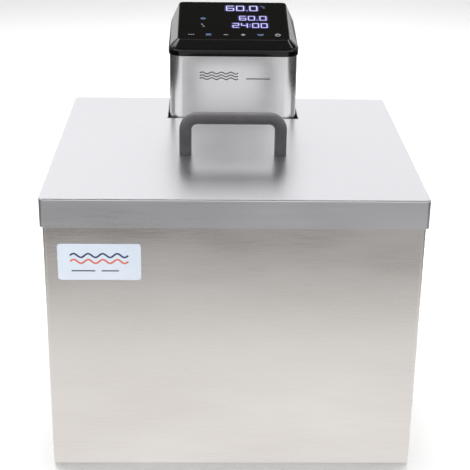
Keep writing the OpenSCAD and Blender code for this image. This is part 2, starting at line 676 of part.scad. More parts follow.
// ---- clamp
module clamp_bracket() color("dimgray") at_head() difference() {
    union() {
        translate([-clamp_w / 2, jaw_front, bridge_low])
            cube([clamp_w, jaw_rear + jaw_rear_t - jaw_front, 0.3 - bridge_low]);
        translate([-clamp_w / 2, jaw_front, -41]) cube([clamp_w, jaw_front_t, 41]);
        translate([-clamp_w / 2, jaw_rear, -40]) cube([clamp_w, jaw_rear_t, 40]);
        translate([0, jaw_rear, screw_z]) rotate([-90, 0, 0]) cylinder(r = 18, h = jaw_rear_t);
    }
    translate([0, jaw_rear - e, screw_z]) rotate([-90, 0, 0]) cylinder(r = screw_r, h = jaw_rear_t + 2 * e);
    for (x = [-28, 28], y = [jaw_front + 10, jaw_rear + 1]) translate([x, y, -10])
        cylinder(r = bolt4 + run, h = 12);
}

module bracket_screws() color("silver") at_head()
    for (x = [-28, 28], y = [jaw_front + 10, jaw_rear + 1]) translate([x, y, deck])
        pan_screw(3.8, 2.4, bolt4, deck + 9);

// drawn about the screw's axis, which points to the rear
module at_screw(y) { at_head() translate([0, y, screw_z]) rotate([-90, 0, 0]) children(); }

module clamp_pad() color("black") at_screw(pad_y) difference() {
    cylinder(r = 10, h = pad_t);
    translate([0, 0, 1.2]) cylinder(r = 3, h = pad_t);
}

module clamp_screw() color("silver") at_screw(pad_y) {
    translate([0, 0, 1.5]) cylinder(r = 3 - run, h = 4);
    translate([0, 0, pad_t + 0.3]) cylinder(r = screw_r - run, h = knob_end - 4 - pad_y - pad_t);
}

module clamp_knob() color("black") at_screw(knob_y) difference() {
    linear_extrude(knob_end - knob_y) {
        circle(12);
        for (a = [0:60:300]) rotate(a) translate([11, 0]) circle(5.5);
    }
    translate([0, 0, -e]) cylinder(r = screw_r, h = knob_end - knob_y - 3);
}

outer_casing();
tank_liner();
tank_insulation();
base_plate();
feet();
foot_screws();
foot_nuts();
name_plate();
lid_skin();
lid_liner();
lid_insulation();
lid_handle();
handle_screws();
handle_washers();
head_shell();
shell_screws();
chassis_plate();
top_cap();
cap_gasket();
display_glass();
display_board();
led_modules();
touch_pads();
power_board();
board_posts();
transformer();
relay();
capacitors();
heat_sink();
triac();
fan_frame();
fan_rotor();
power_inlet();
inlet_pins();
inlet_screws();
rocker_housing();
rocker();
immersion_plate();
plate_screws();
motor();
motor_screws();
pump_shaft();
pump_column();
shaft_bearing();
shaft_seal();
pump_housing();
pump_cover();
impeller();
heater_coil();
heater_nuts();
temperature_probe();
level_probes();
guard();
guard_screws();
clamp_bracket();
bracket_screws();
clamp_pad();
clamp_screw();
clamp_knob();
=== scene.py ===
"""Looks of an insulated sous vide bath and its clamp-on circulator, built around their CAD frame."""

import math

import bmesh
import bpy
from bpy.props import FloatProperty, FloatVectorProperty, PointerProperty
from bpy.types import Operator, Panel, PropertyGroup
from mathutils import Matrix, Vector


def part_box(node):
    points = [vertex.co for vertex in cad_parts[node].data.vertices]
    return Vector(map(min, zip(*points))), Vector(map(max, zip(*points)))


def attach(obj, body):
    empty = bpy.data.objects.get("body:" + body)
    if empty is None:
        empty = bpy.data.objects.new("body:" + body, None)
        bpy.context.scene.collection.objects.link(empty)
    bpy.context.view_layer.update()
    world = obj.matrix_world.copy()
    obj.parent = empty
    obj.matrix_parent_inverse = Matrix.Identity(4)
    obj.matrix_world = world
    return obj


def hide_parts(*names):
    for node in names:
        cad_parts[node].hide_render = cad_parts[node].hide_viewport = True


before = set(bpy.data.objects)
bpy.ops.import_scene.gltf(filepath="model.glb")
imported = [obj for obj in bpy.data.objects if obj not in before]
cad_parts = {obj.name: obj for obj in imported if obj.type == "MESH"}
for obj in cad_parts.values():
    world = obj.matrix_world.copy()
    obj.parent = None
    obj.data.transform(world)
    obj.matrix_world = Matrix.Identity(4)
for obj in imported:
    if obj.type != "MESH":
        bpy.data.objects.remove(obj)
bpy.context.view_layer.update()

bl_info = {
    "name": "Sous vide bath and circulator",
    "version": (1, 0, 0),
    "blender": (4, 5, 0),
    "location": "3D View > Sidebar > Sous vide",
    "description": "Models the visible pieces of a lidded water bath and its circulator",
    "category": "Add Mesh",
}

MM = 0.001
ROUND_CORNER = 8          # facets of a rounded upright corner
GLASS_DEPTH = 93 * MM
GLASS_THICKNESS = 1.4 * MM
STAND_UP = (math.pi / 2, 0, 0)      # turns a flat mark or card to face the front


def linear(code):
    """sRGB hex, such as "c8c6c3", as a linear colour."""
    parts = [int(code[i:i + 2], 16) / 255 for i in (0, 2, 4)]
    return tuple(p / 12.92 if p <= 0.04045 else ((p + 0.055) / 1.055) ** 2.4 for p in parts)


# ---------------------------------------------------------------- sizes and colours

class BathLooks(PropertyGroup):
    """The bath and its lid."""
    casing_radius: FloatProperty(
        name="Casing corner", description="Radius of the casing's upright corners",
        default=4 * MM, unit="LENGTH")
    liner_radius: FloatProperty(
        name="Tank corner", description="Radius of the tank's upright corners",
        default=20 * MM, unit="LENGTH")
    floor_radius: FloatProperty(
        name="Tank floor cove", description="Radius where the tank's walls meet its floor",
        default=8 * MM, unit="LENGTH")
    lid_radius: FloatProperty(
        name="Lid corner", description="Radius of the lid's upright corners",
        default=5 * MM, unit="LENGTH")
    lid_fold: FloatProperty(
        name="Lid fold", description="Radius of the fold along the lid's top edges",
        default=1.5 * MM, unit="LENGTH")
    sheet: FloatProperty(
        name="Sheet", description="Thickness of the stainless sheet",
        default=1.2 * MM, unit="LENGTH")
    bend_radius: FloatProperty(
        name="Handle bend", description="Centre-line radius of the handle's bends",
        default=12 * MM, unit="LENGTH")


class HeadLooks(PropertyGroup):
    """The circulator's head."""
    sleeve_radius: FloatProperty(
        name="Sleeve corner", description="Radius of the steel sleeve's corners",
        default=14 * MM, unit="LENGTH")
    band_height: FloatProperty(
        name="Band height", description="Height of the cap's upright band at its front",
        default=7 * MM, unit="LENGTH")
    band_rise: FloatProperty(
        name="Band rise", description="How much taller the band is at its back",
        default=10.4 * MM, unit="LENGTH")
    tilt: FloatProperty(
        name="Display tilt", description="Slope of the display",
        default=math.radians(14.1), subtype="ANGLE")
    rim: FloatProperty(
        name="Display rim", description="Width of the cap's rim around the display",
        default=0.8 * MM, unit="LENGTH")
    digit_colour: FloatVectorProperty(
        name="Digits", description="Colour of the lit digits", subtype="COLOR",
        default=linear("dedaff"))
    halo_colour: FloatVectorProperty(
        name="Halo", description="Colour of the light that spreads around a digit",
        subtype="COLOR", default=linear("5f57e2"))


class StageLooks(PropertyGroup):
    """Camera, floor and lights."""
    focal: FloatProperty(
        name="Focal length", description="On a 36 mm wide sensor, in millimetres",
        default=91.96)
    pitch: FloatProperty(
        name="Camera pitch", description="Angle below the horizon",
        default=math.radians(22.306), subtype="ANGLE")
    yaw: FloatProperty(
        name="Camera yaw", description="Turn to the right", default=math.radians(1.426),
        subtype="ANGLE")
    roll: FloatProperty(
        name="Camera roll", description="Roll about the line of sight",
        default=math.radians(0.828), subtype="ANGLE")
    horizon: FloatProperty(
        name="Horizon", description="Brightness of the studio's walls", default=1.15)
    zenith: FloatProperty(
        name="Zenith", description="Brightness of the studio's ceiling", default=0.16)


# ---------------------------------------------------------------- modelling helpers

def rest():
    """Object mode with nothing selected."""
    if bpy.context.object and bpy.context.object.mode != "OBJECT":
        bpy.ops.object.mode_set(mode="OBJECT")
    bpy.ops.object.select_all(action="DESELECT")


def activate(obj):
    """Object mode with one object selected and active."""
    rest()
    obj.select_set(True)
    bpy.context.view_layer.objects.active = obj
    return obj


def settle():
    """Moves the active object's place, turn and size into its mesh."""
    bpy.ops.object.transform_apply(location=True, rotation=True, scale=True)
    return bpy.context.object


def block(low, high):
    """A cube between two corners."""
    rest()
    low, high = Vector(low), Vector(high)
    bpy.ops.mesh.primitive_cube_add(size=1, location=(low + high) / 2, scale=high - low)
    return settle()


def sheet(size, location=(0, 0, 0), turn=(0, 0, 0)):
    """A flat rectangle."""
    rest()
    bpy.ops.mesh.primitive_plane_add(size=1, location=location, rotation=turn)
    bpy.context.object.scale = (*size, 1)
    return settle()


def rod(centre, radius, height, sides=48, axis="Z", cone=None):
    """A closed round bar, centred on a point."""
    rest()
    turn = {"X": (0, math.pi / 2, 0), "Y": (math.pi / 2, 0, 0), "Z": (0, 0, 0)}[axis]
    bpy.ops.mesh.primitive_cone_add(vertices=sides, radius1=radius, depth=height,
                                    radius2=radius if cone is None else cone,
                                    location=centre, rotation=turn)
    return settle()


def pick(obj, kind, test):
    """Edit mode with only the faces or edges that pass a test selected."""
    if bpy.context.object is not obj or obj.mode != "EDIT":
        activate(obj)
        bpy.ops.object.mode_set(mode="EDIT")
    bpy.ops.mesh.select_mode(type={"faces": "FACE", "edges": "EDGE", "verts": "VERT"}[kind])
    bpy.ops.mesh.select_all(action="DESELECT")
    mesh = bmesh.from_edit_mesh(obj.data)
    mesh.normal_update()
    found = [part for part in getattr(mesh, kind) if test(part)]
    if not found:
        raise RuntimeError("no " + kind + " to work on in " + obj.name)
    for part in found:
        part.select_set(True)
    bmesh.update_edit_mesh(obj.data)


def along(axis):
    """Test for edges that run along X, Y or Z."""
    i = "XYZ".index(axis)
    return lambda edge: abs((edge.verts[1].co - edge.verts[0].co).normalized()[i]) > 0.9


def facing(direction, least=0.9):
    """Test for faces that look one way."""
    way = Vector(direction)
    return lambda face: face.normal.dot(way) > least


def at_height(z, reach=0.05 * MM):
    """Test for edges that lie at a height."""
    return lambda edge: all(abs(v.co.z - z) < reach for v in edge.verts)


def round_picked(radius, segments):
    """Rounds the selected edges."""
    bpy.ops.mesh.bevel(offset=radius, segments=segments, affect="EDGES", clamp_overlap=True)


def round_block(low, high, radius, segments=ROUND_CORNER):
    """A cube with rounded upright corners."""
    obj = block(low, high)
    pick(obj, "edges", along("Z"))
    round_picked(radius, segments)
    rest()
    return obj


def modify(obj, kind, **settings):
    """Adds a modifier with its settings and applies it."""
    activate(obj)
    bpy.ops.object.modifier_add(type=kind)
    modifier = obj.modifiers[-1]
    for key, value in settings.items():
        setattr(modifier, key, value)
    bpy.ops.object.modifier_apply(modifier=modifier.name)
    return obj


def cut(obj, *cutters):
    """Cuts shapes out of a piece, and removes them."""
    for cutter in cutters:
        modify(obj, "BOOLEAN", object=cutter, operation="DIFFERENCE", solver="EXACT")
        bpy.data.objects.remove(cutter)
    return obj


def thicken(obj, thickness, offset=-1):
    """Gives a skin its wall: inwards at -1, outwards at 1."""
    return modify(obj, "SOLIDIFY", thickness=thickness, offset=offset, use_even_offset=True)


def soften(obj, width, segments=2, angle=35):
    """Breaks the sharp edges, as pressing or moulding does."""
    return modify(obj, "BEVEL", width=width, segments=segments, limit_method="ANGLE",
                  angle_limit=math.radians(angle), harden_normals=False)


def joined(first, *others):
    """One piece out of several."""
    activate(first)
    for other in others:
        other.select_set(True)
    bpy.ops.object.join()
    return first


def copy_of(obj, shift):
    """A copy with its own mesh, moved by a vector."""
    activate(obj)
    bpy.ops.object.duplicate(linked=False)
    bpy.ops.transform.translate(value=shift)
    return settle()


def place(obj, turn=(0, 0, 0), centre=(0, 0, 0)):
    """Turns and moves a piece that was modelled about the origin."""
    activate(obj)
    obj.rotation_euler = turn
    obj.location = centre
    return settle()


def deliver(obj, name, body, material, nodes=(), smooth=32):
    """Names a finished piece, and gives it its material, its body and the nodes it stands for."""
    activate(obj)
    bpy.ops.object.mode_set(mode="EDIT")
    bpy.ops.mesh.select_all(action="SELECT")
    bpy.ops.mesh.remove_doubles(threshold=0.000001)
    bpy.ops.mesh.normals_make_consistent(inside=False)
    activate(obj)
    bpy.ops.object.shade_smooth_by_angle(angle=math.radians(smooth))
    modify(obj, "WEIGHTED_NORMAL", mode="FACE_AREA", weight=50, keep_sharp=True)
    obj.name = name
    obj.data.name = name
    obj.data.materials.clear()
    obj.data.materials.append(material)
    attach(obj, body)
    if nodes:
        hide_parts(*nodes)
    rest()
    return obj


# ---------------------------------------------------------------- materials

def add(tree, kind, values=None, links=None, **settings):
    """Adds a shader node: its settings, its input values, and links into its inputs."""
    node = tree.nodes.new(kind)
    for key, value in settings.items():
        setattr(node, key, value)
    for key, value in (values or {}).items():
        node.inputs[key].default_value = value
    for key, source in (links or {}).items():
        tree.links.new(source, node.inputs[key])
    return node


def blank(name):
    """A material with only its shader and its output."""
    material = bpy.data.materials.get(name)
    if material:
        return material, None, None
    material = bpy.data.materials.new(name)
    material.use_nodes = True
    tree = material.node_tree
    tree.nodes.clear()
    shader = add(tree, "ShaderNodeBsdfPrincipled")
    add(tree, "ShaderNodeOutputMaterial", links={"Surface": shader.outputs["BSDF"]})
    return material, tree, shader


def stretched_noise(tree, size_mm, detail=3.0, seed=0.0):
    """Noise whose grains measure size_mm along X, Y and Z."""
    where = add(tree, "ShaderNodeTexCoord")
    scaled = add(tree, "ShaderNodeMapping",
                 {"Scale": [1 / (s * MM) for s in size_mm], "Location": (seed, seed, seed)},
                 {"Vector": where.outputs["Object"]})
    noise = add(tree, "ShaderNodeTexNoise", {"Scale": 1.0, "Detail": detail, "Roughness": 0.6},
                {"Vector": scaled.outputs["Vector"]})
    return noise.outputs["Fac"]


def brushed(name, dark, light, grain_mm, rough, depth_mm=0.004, cloud=60.0):
    """Brushed or satin sheet metal: fine lines along the grain, faint clouds across the sheet."""
    material, tree, shader = blank(name)
    if tree is None:
        return material
    lines = stretched_noise(tree, grain_mm, 4.0)
    clouds = stretched_noise(tree, (cloud * 3, cloud * 3, cloud), 2.0, 3.7)
    both = add(tree, "ShaderNodeMath", links={0: lines, 1: clouds}, operation="ADD")
    streak = add(tree, "ShaderNodeMapRange", {"From Min": 0.7, "From Max": 1.3},
                 {"Value": both.outputs[0]})
    colour = add(tree, "ShaderNodeMix", {"A": (*linear(dark), 1), "B": (*linear(light), 1)},
                 {"Factor": streak.outputs["Result"]}, data_type="RGBA")
    polish = add(tree, "ShaderNodeMapRange",
                 {"From Min": 0.7, "From Max": 1.3, "To Min": rough[0], "To Max": rough[1]},
                 {"Value": both.outputs[0]})
    relief = add(tree, "ShaderNodeBump", {"Distance": depth_mm * MM}, {"Height": lines})
    shader.inputs["Metallic"].default_value = 1.0
    tree.links.new(colour.outputs["Result"], shader.inputs["Base Color"])
    tree.links.new(polish.outputs["Result"], shader.inputs["Roughness"])
    tree.links.new(relief.outputs["Normal"], shader.inputs["Normal"])
    return material


def moulded(name, dark, light, grain_mm, rough, depth_mm, coat=0.0, coat_rough=0.05, metallic=0.0):
    """A moulded, painted or cast surface: even grain in every direction."""
    material, tree, shader = blank(name)
    if tree is None:
        return material
    grain = stretched_noise(tree, (grain_mm,) * 3, 4.0)
    patches = stretched_noise(tree, (grain_mm * 40,) * 3, 2.0, 1.9)
    shade = add(tree, "ShaderNodeMapRange", {"From Min": 0.3, "From Max": 0.7}, {"Value": patches})
    colour = add(tree, "ShaderNodeMix", {"A": (*linear(dark), 1), "B": (*linear(light), 1)},
                 {"Factor": shade.outputs["Result"]}, data_type="RGBA")
    gloss = add(tree, "ShaderNodeMapRange",
                {"From Min": 0.3, "From Max": 0.7, "To Min": rough[0], "To Max": rough[1]},
                {"Value": grain})
    relief = add(tree, "ShaderNodeBump", {"Distance": depth_mm * MM}, {"Height": grain})
    shader.inputs["Metallic"].default_value = metallic
    shader.inputs["Coat Weight"].default_value = coat
    shader.inputs["Coat Roughness"].default_value = coat_rough
    tree.links.new(colour.outputs["Result"], shader.inputs["Base Color"])
    tree.links.new(gloss.outputs["Result"], shader.inputs["Roughness"])
    tree.links.new(relief.outputs["Normal"], shader.inputs["Normal"])
    return material


def lit(name, colour, strength):
    """A lit segment of the display, as it shows through the glass."""
    material, tree, shader = blank(name)
    if tree is None:
        return material
    glow = add(tree, "ShaderNodeMapRange",
               {"From Min": 0.3, "From Max": 0.7, "To Min": 0.85 * strength,
                "To Max": 1.15 * strength},
               {"Value": stretched_noise(tree, (1.5, 1.5, 1.5))})
    shader.inputs["Base Color"].default_value = (*linear("161618"), 1)
    shader.inputs["Roughness"].default_value = 0.4
    shader.inputs["Emission Color"].default_value = (*colour, 1)
    tree.links.new(glow.outputs["Result"], shader.inputs["Emission Strength"])
    return material


def satin_casing_steel():
    # 304 stainless sheet, brushed level: soft, streaky reflections, warmer than the lid
    return brushed("satin_304_stainless_casing", "d6d2ce", "e2dfdc", (45, 45, 0.35), (0.24, 0.34))


def lid_steel():
    # the same sheet, finer finish: brighter, with blurred reflections of what stands on it
    return brushed("fine_304_stainless_lid", "e0e0e4", "e6e6ea", (60, 0.4, 0.4), (0.27, 0.33), 0.001)


def tank_steel():
    # deep-drawn stainless tank, polished and easy to wipe
    return brushed("polished_304_stainless_tank", "c4c3c1", "d2d1cf", (40, 40, 0.6), (0.2, 0.32))


def sleeve_steel():
    # brushed round the head, so its corners catch the light in upright bands
    return brushed("brushed_stainless_sleeve", "f2f2f2", "f7f7f7", (30, 30, 0.3), (0.22, 0.26), 0.001)


def turned_steel():
    # bright zinc-plated screws and the pump's shaft, with fine turning marks
    return brushed("zinc_plated_steel", "a9abad", "c4c6c8", (0.25, 0.25, 0.25), (0.2, 0.35), 0.003)


def heater_steel():
    # mineral-filled stainless tube, straw-tinted by heat
    return brushed("heat_tinted_stainless_tube", "8a7f70", "a39c92", (6, 6, 1.2), (0.28, 0.42))


def cast_aluminium():
    # plain mill-finish aluminium: pale grey, dull sheen
    return brushed("mill_finish_aluminium", "b6b8ba", "cdcfd1", (20, 0.6, 0.6), (0.35, 0.5))


def plated_brass():
    # brass pins, nuts and posts: yellow and soft
    return brushed("turned_brass", "b08d4a", "c9a865", (0.4, 0.4, 0.4), (0.25, 0.4), 0.003)


def gloss_black():
    # gloss ABS: near black, mirror-like, with a trace of orange peel
    return moulded("gloss_black_abs", "040404", "070707", 2.5, (0.07, 0.11), 0.002)


def smoked_glass():
    # printed and tempered cover glass: warm dark grey behind a clean gloss
    return moulded("smoked_tempered_glass", "0c0c0b", "11100f", 30, (0.05, 0.08), 0.0002)


def grey_grip():
    # glass-filled nylon handle: grey, satin, with a fine moulded grain
    return moulded("satin_grey_nylon", "555356", "5f5d60", 0.5, (0.42, 0.55), 0.012)


def matt_black():
    # black moulded plastic with spark-eroded texture
    return moulded("textured_black_nylon", "161617", "202021", 0.7, (0.5, 0.65), 0.02)


def white_resin():
    # acetal bearing and impeller: milky, waxy
    return moulded("natural_acetal", "dcdad3", "e9e7e1", 1.5, (0.35, 0.5), 0.006)


def black_rubber():
    # nitrile rubber: dull, faintly dusty
    return moulded("black_nitrile_rubber", "19191a", "262627", 0.8, (0.7, 0.85), 0.02)


def foam():
    # rigid polyurethane foam: buff, open skin, pitted
    return moulded("rigid_polyurethane_foam", "cdbb84", "e0d2a4", 1.6, (0.85, 0.95), 0.4)


def painted_cast():
    # epoxy-painted die casting of the clamp
    return moulded("charcoal_epoxy_paint", "2b2c2e", "343538", 0.9, (0.42, 0.55), 0.015)


def label_film():
    # pale blue polyester label under a clear laminate
    return moulded("laminated_polyester_label", "dbe6f4", "e4edf8", 4.0, (0.28, 0.36), 0.002, 0.3, 0.1)


def ink(name, code):
    # screen-printed ink: flat, slightly raised
    return moulded("printed_ink_" + name, code, code, 0.4, (0.45, 0.55), 0.004)


def circuit_board():
    # solder mask over glass-epoxy
    return moulded("green_solder_mask", "0f4a2a", "17603a", 1.2, (0.3, 0.4), 0.01, 0.2, 0.2)


def painted_can():
    # lacquered steel can of the motor
    return moulded("lacquered_steel_can", "3f4348", "4c5056", 0.8, (0.35, 0.45), 0.01, 0.2, 0.2, 0.6)


def laminations():
    # varnished steel laminations and their amber tape
    return moulded("varnished_laminations", "8f6d2f", "a58344", 0.6, (0.4, 0.5), 0.03, 0.2, 0.2)


def relay_case():
    # translucent blue nylon case
    return moulded("blue_nylon_case", "1d3f86", "264c9a", 1.0, (0.3, 0.4), 0.01)


def led_block():
    # potted LED module: grey face, white light pipes
    return moulded("potted_led_block", "b9b9c6", "d4d4de", 1.0, (0.4, 0.5), 0.01)


# ---------------------------------------------------------------- shared places

def looks():
    """The sizes and colours of the bath, the head and the stage."""
    scene = bpy.context.scene
    return scene.bath_looks, scene.head_looks, scene.stage_looks


def glass_plane():
    """Turn and centre of the display's surface, from the glass's box."""
    low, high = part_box("display_glass")
    tilt = looks()[1].tilt
    normal = Vector((0, -math.sin(tilt), math.cos(tilt)))
    return (tilt, 0, 0), (low + high) / 2 + normal * GLASS_THICKNESS / 2


def on_display(obj):
    """Lays a piece that was modelled flat on the display's surface."""
    turn, centre = glass_plane()
    return place(obj, turn, centre)


# ---------------------------------------------------------------- bath and lid

class BathCasing(Operator):
    """Brushed outer casing of the bath"""
    bl_idname = "sousvide.bath_casing"
    bl_label = "Bath casing"

    def execute(self, context):
        bath = looks()[0]
        low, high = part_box("outer_casing")
        obj = round_block(low, high, bath.casing_radius)
        pick(obj, "faces", facing((0, 0, -1)))
        bpy.ops.mesh.delete(type="FACE")
        pick(obj, "faces", facing((0, 0, 1)))
        top_flange = 3.8 * MM
        bpy.ops.mesh.inset(thickness=top_flange)
        bpy.ops.mesh.delete(type="FACE")
        thicken(obj, bath.sheet)
        soften(obj, 0.35 * MM)
        deliver(obj, "bath_casing", "bath", satin_casing_steel(), ["outer_casing"])
        return {"FINISHED"}


class Tank(Operator):
    """Drawn inner tank with coved floor and flat rim"""
    bl_idname = "sousvide.tank"
    bl_label = "Tank"

    def execute(self, context):
        bath = looks()[0]
        low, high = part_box("tank_liner")
        wall, above, corner = 14 * MM, Vector((0, 0, 0.1)), 12
        inner_low = Vector((low.x + wall, low.y + wall, low.z + bath.sheet))
        inner_high = Vector((high.x - wall, high.y - wall, high.z))
        tank = round_block(inner_low, inner_high, bath.liner_radius, corner)
        pick(tank, "faces", facing((0, 0, 1)))
        bpy.ops.mesh.delete(type="FACE")
        pick(tank, "edges", at_height(inner_low.z))
        round_picked(bath.floor_radius, 6)
        thicken(tank, bath.sheet, 1)
        rim = round_block((low.x, low.y, high.z - bath.sheet), high, bath.casing_radius)
        # the rim's hole is the shape of the tank's inside, lifted past it
        cut(rim, round_block(inner_low + above, inner_high + above, bath.liner_radius, corner))
        soften(rim, 0.3 * MM)
        tank = joined(tank, rim)
        deliver(tank, "tank", "bath", tank_steel(), ["tank_liner"])
        return {"FINISHED"}


class Feet(Operator):
    """Four rubber feet with a rounded tread and a recessed screw"""
    bl_idname = "sousvide.feet"
    bl_label = "Feet"

    def execute(self, context):
        low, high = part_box("feet")
        radius, taper, screw_hole = 14 * MM, 1.5 * MM, 2.3 * MM
        recess_radius, recess_depth = 5 * MM, 4 * MM
        height = high.z - low.z
        centre = Vector((low.x + radius, low.y + radius, height / 2))
        foot = rod(centre, radius - taper, height, 40, cone=radius)
        cut(foot, rod((centre.x, centre.y, 0), recess_radius, 2 * recess_depth, 32),
            rod(centre, screw_hole, 3 * height, 24))
        soften(foot, 0.7 * MM, 3, 50)
        across, back = high.x - low.x - 2 * radius, high.y - low.y - 2 * radius
        others = [copy_of(foot, shift) for shift in ((across, 0, 0), (0, back, 0),
                                                     (across, back, 0))]
        deliver(joined(foot, *others), "feet_rubber", "bath", black_rubber(), ["feet"])
        return {"FINISHED"}


class Lid(Operator):
    """Folded lid with its lip and the notch for the circulator"""
    bl_idname = "sousvide.lid"
    bl_label = "Lid"

    def execute(self, context):
        bath = looks()[0]
        low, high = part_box("lid_skin")
        shell_low, shell_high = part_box("head_shell")
        liner_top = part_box("lid_liner")[0].z
        gap, close, past = 2 * MM, 0.1 * MM, 10 * MM
        left, right, front = shell_low.x - gap, shell_high.x + gap, shell_low.y - gap
        obj = round_block(low, high, bath.lid_radius)
        cut(obj, block((left, front, low.z - past), (right, high.y + past, high.z + past)))

        def in_notch(part):
            spot = part.calc_center_median()
            return (left - close < spot.x < right + close and spot.y > front - close
                    and abs(part.normal.z) < 0.1)

        def on_top_rim(edge):
            return at_height(high.z)(edge) and len(edge.link_faces) == 2 and \
                min(abs(f.normal.z) for f in edge.link_faces) < 0.5

        pick(obj, "edges", on_top_rim)
        round_picked(bath.lid_fold, 4)
        pick(obj, "faces", facing((0, 0, -1)))
        bpy.ops.mesh.delete(type="FACE")
        pick(obj, "faces", in_notch)
        bpy.ops.mesh.bisect(plane_co=(0, 0, liner_top), plane_no=(0, 0, 1))
        pick(obj, "faces", lambda f: in_notch(f) and f.calc_center_median().z < liner_top)
        bpy.ops.mesh.delete(type="FACE")
        thicken(obj, bath.sheet)
        soften(obj, 0.35 * MM)
        deliver(obj, "lid_shell", "lid", lid_steel(), ["lid_skin"])
        return {"FINISHED"}


class LidHandle(Operator):
    """Bar handle, swept from one foot to the other"""
    bl_idname = "sousvide.lid_handle"
    bl_label = "Lid handle"

    def execute(self, context):
        bend = looks()[0].bend_radius
        low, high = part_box("lid_handle")
        radius = (high.y - low.y) / 2
        left, right, y = low.x + radius, high.x - radius, (low.y + high.y) / 2
        bar_z = high.z - radius
        rest()
        bpy.ops.mesh.primitive_circle_add(vertices=40, radius=radius, fill_type="NGON",
                                          location=(left, y, low.z))
        obj = settle()
        pick(obj, "faces", lambda face: True)
        leg = bar_z - bend - low.z

        def push(x, z):
            bpy.ops.mesh.extrude_region_move(TRANSFORM_OT_translate={"value": (x, 0, z)})

        def turn(x):
            bpy.ops.mesh.spin(steps=14, angle=math.pi / 2, center=(x, y, bar_z - bend),
                              axis=(0, -1, 0))

        push(0, leg)
        turn(left + bend)
        push(right - left - 2 * bend, 0)
        turn(right - bend)
        push(0, -leg)
        rest()
        screw_hole, screw_depth = 2.5 * MM, 15 * MM
        for x in (left, right):
            cut(obj, rod((x, y, low.z), screw_hole, 2 * screw_depth, 24))
        soften(obj, 0.4 * MM, 2, 60)
        deliver(obj, "handle_bar", "lid", grey_grip(), ["lid_handle"])
        return {"FINISHED"}


def tube(points, radius, closed=False):
    """A round line through points, as a mesh."""
    rest()
    bpy.ops.curve.primitive_nurbs_path_add()
    obj = bpy.context.object
    curve = obj.data
    curve.splines.clear()
    spline = curve.splines.new("POLY")
    spline.points.add(len(points) - 1)
    for point, where in zip(spline.points, points):
        point.co = (*where, 1)
    spline.use_cyclic_u = closed
    curve.dimensions = "3D"
    curve.bevel_depth = radius
    curve.bevel_resolution = 3
    curve.use_fill_caps = not closed
    obj.location = (0, 0, 0)
    activate(obj)
    bpy.ops.object.convert(target="MESH")
    return settle()


def pressed(obj):
    """Presses a line flat, as ink is."""
    activate(obj)
    obj.scale = (1, 1, 0.08)
    return settle()


def wave(width, rise, crests, radius, steps=96):
    """A flattened wavy line centred on the origin, in X and Y."""
    turns = [i / steps for i in range(steps + 1)]
    return pressed(tube([(width * (t - 0.5), rise * math.sin(2 * math.pi * crests * t), 0)
                         for t in turns], radius))


def dash(width, radius):
    """A flattened straight line centred on the origin, along X."""
    return pressed(tube([(-width / 2, 0, 0), (width / 2, 0, 0)], radius))


class Label(Operator):
    """Blank label with a plain water mark in place of lettering"""
    bl_idname = "sousvide.label"
    bl_label = "Label"

    def execute(self, context):
        low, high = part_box("name_plate")
        obj = block(low, high)
        pick(obj, "edges", along("Y"))
        round_picked(3 * MM, 8)
        soften(obj, 0.1 * MM, 2)
        deliver(obj, "label_plate", "bath", label_film(), ["name_plate"])
        centre = (low + high) / 2
        front = low.y + 0.02 * MM
        marks = {"navy": [(wave(54 * MM, 1.9 * MM, 4, 0.95 * MM), 0, 6.5)],
                 "coral": [(wave(54 * MM, 1.9 * MM, 4, 0.95 * MM), 0, 0.5)],
                 "grey": [(dash(22 * MM, 0.8 * MM), -15, -9), (dash(16 * MM, 0.8 * MM), 10, -9)]}
        inks = {"navy": "23396b", "coral": "e0705a", "grey": "5c6470"}
        for colour, lines in marks.items():
            parts = [place(line, STAND_UP, (centre.x + x * MM, front, centre.z + z * MM))
                     for line, x, z in lines]
            deliver(joined(*parts), "label_mark_" + colour, "bath",
                    ink(colour, inks[colour]))
        return {"FINISHED"}


# ---------------------------------------------------------------- head

class Sleeve(Operator):
    """Brushed sleeve of the head, with its rear openings"""
    bl_idname = "sousvide.sleeve"
    bl_label = "Steel sleeve"

    def execute(self, context):
        radius = looks()[1].sleeve_radius
        low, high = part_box("head_shell")
        obj = round_block(low, high, radius, 18)
        pick(obj, "faces", lambda f: abs(f.normal.z) > 0.9)
        bpy.ops.mesh.delete(type="FACE")
        thicken(obj, 1 * MM)
        back, through = high.y, 3 * MM

        def opening(centre, half_width, half_height, drop=0.0):
            z = centre.z + drop
            return block((centre.x - half_width, back - through, z - half_height),
                         (centre.x + half_width, back + through, z + half_height))

        def middle(node):
            return sum(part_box(node), Vector()) / 2

        cut(obj, opening(middle("power_inlet"), 14.2 * MM, 10.2 * MM),
            opening(middle("rocker_housing"), 9.6 * MM, 6.5 * MM))
        grille, slot_step, slot_half, slot_round = 18.9 * MM, 5 * MM, 1.2 * MM, 1.15 * MM
        for i in range(-3, 4):
            half = math.sqrt(grille ** 2 - (i * slot_step) ** 2)
            slot = opening(middle("fan_frame"), half, slot_half, i * slot_step)
            pick(slot, "edges", along("Y"))
            round_picked(slot_round, 4)
            cut(obj, slot)
        screw_low, screw_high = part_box("shell_screws")
        head_radius, screw_hole = 2.8 * MM, 1.7 * MM
        for x in (screw_low.x + head_radius, screw_high.x - head_radius):
            cut(obj, rod((x, back, (screw_low.z + screw_high.z) / 2), screw_hole, 8 * MM, 24, "Y"))
        soften(obj, 0.3 * MM)
        deliver(obj, "head_sleeve", "circulator", sleeve_steel(), ["head_shell"])
        return {"FINISHED"}


